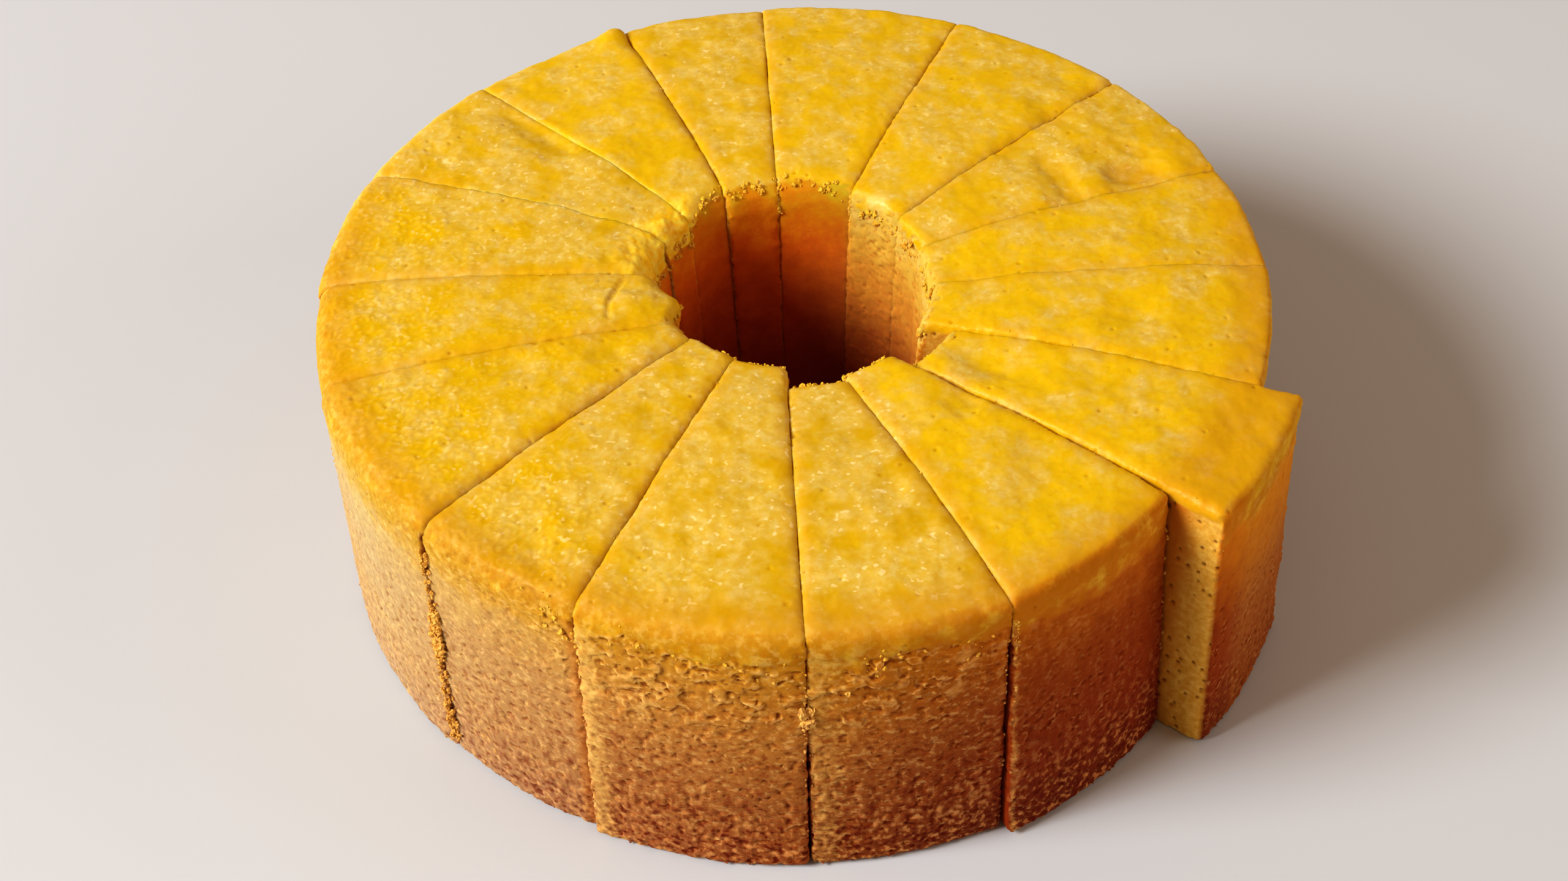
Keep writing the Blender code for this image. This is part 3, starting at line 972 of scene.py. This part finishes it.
def crust_colour(shader, marks):
    """Side crust: tan on the left, orange brown in the middle, and red brown on the right, partly baking and
    partly painted light on the left and painted shade on the right.
    """
    blend, tint, ramp, times = shader.blend, shader.tint, shader.ramp, shader.times
    left = depth_ramp(
        shader, marks.height,
        (4.0, (184, 152, 54)), (10.0, (189, 158, 82)), (16.0, (189, 167, 114)), (30.0, (182, 160, 118)),
        (60.0, (184, 156, 112)), (78.0, (178, 150, 116)),
    )
    middle = depth_ramp(
        shader, marks.height,
        (8.0, (198, 145, 30)), (16.0, (192, 139, 42)), (26.0, (188, 131, 48)), (40.0, (178, 123, 58)),
        (55.0, (164, 106, 50)), (78.0, (152, 86, 38)),
    )
    right = depth_ramp(
        shader, marks.height,
        (4.0, (202, 120, 6)), (10.0, (188, 106, 12)), (16.0, (179, 100, 14)), (26.0, (160, 80, 8)),
        (40.0, (148, 66, 8)), (60.0, (138, 56, 14)), (78.0, (114, 44, 16)),
    )
    crust = blend(marks.right, blend(marks.left, middle, left), right)

    # Pale ridges, dark pores and burnt specks, with painted highlight on raised relief and painted shade in
    # its hollows
    ridge = blend(0.6, crust, (238, 206, 140))
    pit = blend(0.7, crust, (130, 46, 0))
    chips = times(ramp(marks.patchy, (0.54, 0.0), (0.64, 0.5)), marks.torn)
    crust = blend(chips, crust, ridge)
    calm = ramp(marks.right, (0.7, 1.0), (1.0, 0.2))
    calm = times(calm, ramp(marks.far_right, (0.0, 1.0), (1.0, 0.2)))
    # Painted light: brighter orange high on the far right side, where more light falls
    painted_glow = times(marks.far_right, ramp(marks.height, (0.5, 0.05), (0.9, 0.6)))
    crust = blend(painted_glow, crust, (222, 142, 10))
    speckles = times(ramp(marks.fine, (0.54, 0.0), (0.66, 0.6)), calm)
    crust = blend(speckles, crust, ridge)
    # Painted highlight on raised relief
    crust = tint(crust, ridge, marks.relief, (0.58, 0.0), (0.92, 1.0))
    pores = ramp(marks.left, (0.0, 1.0), (1.0, 0.45))
    pores = shader.less(pores, times(marks.torn, 0.6))
    pores = times(ramp(marks.fine, (0.36, 0.8), (0.46, 0.0)), times(pores, calm))
    crust = blend(pores, crust, pit)
    # Painted shade in the hollows of the relief
    crust = tint(crust, pit, marks.relief, (0.15, 0.9), (0.42, 0.0))
    low = ramp(marks.height, (0.12, 1.0), (0.40, 0.1))
    low = times(low, ramp(marks.far_right, (0.0, 1.0), (1.0, 0.3)))
    burnt = times(ramp(marks.specks, (0.36, 0.9), (0.44, 0.0)), low)
    crust = blend(times(burnt, marks.baked), crust, (104, 26, 4))
    bright = times(ramp(marks.specks, (0.56, 0.0), (0.64, 0.6)), low)
    crust = blend(times(bright, marks.baked), crust, (214, 150, 90))

    # Cream crumb edges, and dark edges of painted shade, beside some cuts
    cream = blend(0.5, (234, 200, 120), crust)
    crust = blend(marks.cream, crust, cream)
    on_left = ramp(marks.left, (0.0, 0.0), (0.3, 1.0))
    shade = blend(on_left, (118, 34, 6), (190, 122, 46))
    return tint(crust, shade, marks.seam, (0.0, 0.85), (0.45, 0.0))


def hole_colour(shader, marks):
    """Browned hole wall, dark below, toned down by painted shade at the lit right back, and pale yellow to
    orange where it is torn open.
    """
    blend, tint, ramp = shader.blend, shader.tint, shader.ramp
    browned = depth_ramp(
        shader, marks.height,
        (0.0, (216, 178, 44)), (5.0, (226, 162, 30)), (12.0, (228, 146, 30)), (20.0, (224, 122, 34)),
        (32.0, (208, 112, 40)), (60.0, (170, 82, 50)),
    )
    torn = depth_ramp(
        shader, marks.height,
        (1.0, (206, 184, 84)), (6.0, (216, 192, 108)), (12.0, (212, 178, 80)), (20.0, (202, 156, 66)),
        (32.0, (192, 134, 54)), (50.0, (172, 96, 44)),
    )
    # Painted shade in the hollows of the torn wall
    torn = tint(torn, (180, 112, 36), marks.relief, (0.15, 0.7), (0.42, 0.0))
    torn = tint(torn, (190, 118, 40), marks.fine, (0.34, 0.6), (0.44, 0.0))
    mottled = ramp(marks.patchy, (0.38, 0.0), (0.62, 1.0))
    darker = blend(0.12, browned, (150, 40, 6))
    browned = blend(mottled, darker, browned)
    # Painted shade: the right back of the hole, where the light falls strongest, is toned down
    browned = blend(marks.right_back, browned, (228, 246, 240), kind="MULTIPLY")
    return blend(marks.pale, browned, torn)


def sponge_material():
    """Golden skin, browned porous sides with painted light and shade, brown hole wall and pale crumb in the
    cuts with painted shade where they are hidden, as one material.
    """
    shader = Shader("golden sponge")
    blend, tint, ramp, times = shader.blend, shader.tint, shader.ramp, shader.times
    places = shader.places()
    marks = shader.read_marks()
    marks.patchy = shader.noise(places, 6.0, 4.0, 0.6)
    marks.fine = shader.noise(shader.places(1.25), 2.0, 3.0, 0.65)
    marks.specks = shader.noise(shader.places(1.3), 2.0, 2.0)
    marks.height = shader.height(places, marks.patchy)
    x, y = shader.split(places)[:2]
    backward = shader.math("DIVIDE", y, RIM_RADIUS * MM)
    forward = times(backward, -1.0)
    to_the_right = shader.math("DIVIDE", x, RIM_RADIUS * MM)
    right_in_hole = shader.math("DIVIDE", x, HOLE_RADIUS * MM)
    marks.back = ramp(backward, (0.1, 0.0), (0.5, 1.0))
    marks.right_back = ramp(right_in_hole, (0.0, 0.1), (0.4, 1.0))
    marks.far_right = ramp(to_the_right, (0.74, 0.0), (0.84, 1.0))
    marks.far_right = times(marks.far_right, ramp(forward, (0.0, 0.0), (0.33, 1.0)))
    # Shares of the side's browning on the left and right, which also carry painted light on the left and
    # painted shade on the right
    marks.left = ramp(marks.browning_and_shade, (0.0, 1.0), (0.5, 0.0))
    marks.right = ramp(marks.browning_and_shade, (0.5, 0.0), (1.0, 1.0))
    marks.baked = ramp(marks.browning_and_shade, (0.1, 0.2), (0.5, 1.0))
    pale_edge = ramp(marks.seam, (0.52, 0.0), (1.0, 1.0))
    ragged = shader.math("ADD", pale_edge, times(shader.less(marks.fine, 0.5), 1.4))
    ragged = ramp(ragged, (0.25, 0.0), (0.9, 0.9))
    marks.cream = times(ragged, ramp(marks.seam, (0.51, 0.0), (0.6, 1.0)))

    in_hole = shader.most(marks.hole, marks.pale)
    colour = blend(in_hole, crust_colour(shader, marks), hole_colour(shader, marks))
    airy = ramp(marks.fine, (0.4, 0.0), (0.7, 1.0))
    crumb = blend(airy, (208, 162, 66), (226, 192, 102))
    # Painted shadow: darker orange crumb where the neighbouring slice shades the shown cut face
    crumb = blend(marks.sheltered, crumb, (186, 116, 22))
    # Painted shade in the hollows of the crumb
    crumb = tint(crumb, (150, 96, 30), marks.relief, (0.15, 0.8), (0.42, 0.0))
    # Painted shade: the cut faces hidden in the gaps are dark red brown instead of pale crumb
    crumb = blend(marks.shown, (150, 62, 16), crumb)
    colour = blend(marks.cut, colour, crumb)
    colour = blend(marks.skin, colour, skin_colour(shader, places, marks))
    shader.surface("Base Color", colour)

    skin_rough = ramp(marks.wet, (0.0, 0.5), (1.0, 0.3))
    matt = shader.most(marks.side, shader.less(1.0, marks.skin))
    rough = blend(matt, skin_rough, 0.85)
    shader.surface("Roughness", rough)
    bump_strength = ramp(marks.skin, (0.0, 0.5), (1.0, 0.15))
    shader.surface("Normal", shader.bump(marks.fine, bump_strength, 0.3))
    shader.scatter_light(0.6)
    shader.surface("Specular IOR Level", ramp(matt, (0.0, 0.42), (1.0, 0.2)))
    return shader.material


def crumb_material():
    """Loose crumbs: creamy yellow above, tan and brown further down, and golden on the left, partly their
    own colour and partly painted light against the shade of the cut they fill.
    """
    shader = Shader("loose crumbs")
    places = shader.places()
    patchy = shader.noise(places, 3.0, 2.0)
    height = shader.height(places, patchy)
    colour = shader.ramp(
        height,
        (0.05, (160, 98, 58)),
        (0.5, (204, 156, 84)),
        (0.66, (220, 178, 104)),
        (0.9, (224, 180, 70)),
        (1.0, (230, 196, 66)),
    )
    # Painted light: lighter gold on the left, partly their own colour, where the crumbs lie in the shade of
    # the cut
    left = shader.math("DIVIDE", shader.split(places)[0], -RIM_RADIUS * MM)
    colour = shader.tint(colour, (228, 182, 92), left, (0.55, 0.0), (0.65, 0.8))
    shader.surface("Base Color", colour)
    shader.surface("Roughness", 0.8)
    return shader.material


def floor_material():
    """Plain pale studio floor."""
    shader = Shader("pale floor")
    shader.surface("Base Color", (0.60, 0.66, 0.74, 1.0))
    shader.surface("Roughness", 0.75)
    return shader.material


# ------------------------ studio

def build_floor():
    """Lay the floor that only the pictures have."""
    bpy.ops.object.select_all(action="DESELECT")
    bpy.ops.mesh.primitive_plane_add(size=6.0, location=(0.0, 0.0, 0.0))
    floor = bpy.context.view_layer.objects.active
    floor.name = "floor"
    floor.data.materials.append(floor_material())


def area_light(name, place, size, power, colour):
    """A soft light at a place in metres, aimed at the middle of the cake."""
    light = bpy.data.lights.new(name, "AREA")
    light.shape = "DISK"
    light.size = size
    light.energy = power
    light.color = colour
    lamp = bpy.data.objects.new(name, light)
    lamp.location = place
    aim = Vector((0.0, 0.0, 0.04)) - Vector(place)
    lamp.rotation_euler = aim.to_track_quat("-Z", "Y").to_euler()
    bpy.context.scene.collection.objects.link(lamp)


def build_lights():
    """Warm dim surroundings, a window on the left and a weaker light on the right."""
    world = bpy.data.worlds.new("studio")
    world.use_nodes = True
    world.node_tree.nodes["Background"].inputs["Color"].default_value = (1.0, 0.66, 0.42, 1.0)
    world.node_tree.nodes["Background"].inputs["Strength"].default_value = 0.3
    bpy.context.scene.world = world
    area_light("window", (-2.68, -0.92, 2.06), 1.5, 112.0, (1.0, 0.97, 0.92))
    area_light("bounce", (2.76, -0.59, 1.03), 1.8, 16.0, (1.0, 0.93, 0.84))


def set_picture_tones():
    """Plain colours with some contrast, as a camera gives."""
    settings = bpy.context.scene.view_settings
    settings.view_transform = "Standard"
    settings.look = "High Contrast"


def build_camera():
    """The photograph's camera: it looks along +Y and down, with a slight roll."""
    data = bpy.data.cameras.new("camera")
    data.sensor_width = 36.0
    data.lens = CAMERA_LENS
    data.clip_start = 0.01
    camera = bpy.data.objects.new("camera", data)
    pitch = Matrix.Rotation(math.radians(90.0 - CAMERA_PITCH), 4, "X")
    roll = Matrix.Rotation(math.radians(CAMERA_ROLL), 4, "Z")
    camera.matrix_world = Matrix.Translation(Vector(CAMERA_PLACE) * MM) @ pitch @ roll
    bpy.context.scene.collection.objects.link(camera)
    bpy.context.scene.camera = camera


def main():
    """Set up the studio, dress every slice and scatter the crumbs."""
    build_camera()
    build_floor()
    build_lights()
    set_picture_tones()
    patterns = relief_patterns()
    guide = flat_guide()
    material = sponge_material()
    chance = random.Random(CRUMB_SEED)
    sites = []
    for node_name in sorted(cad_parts):
        piece, zones = dress_slice(node_name, patterns, guide, material)
        sites += crumb_sites(piece, zones, node_name, chance)
    bpy.data.objects.remove(guide, do_unlink=True)
    scatter_crumbs("loose_crumbs", sites, crumb_material(), chance)


main()
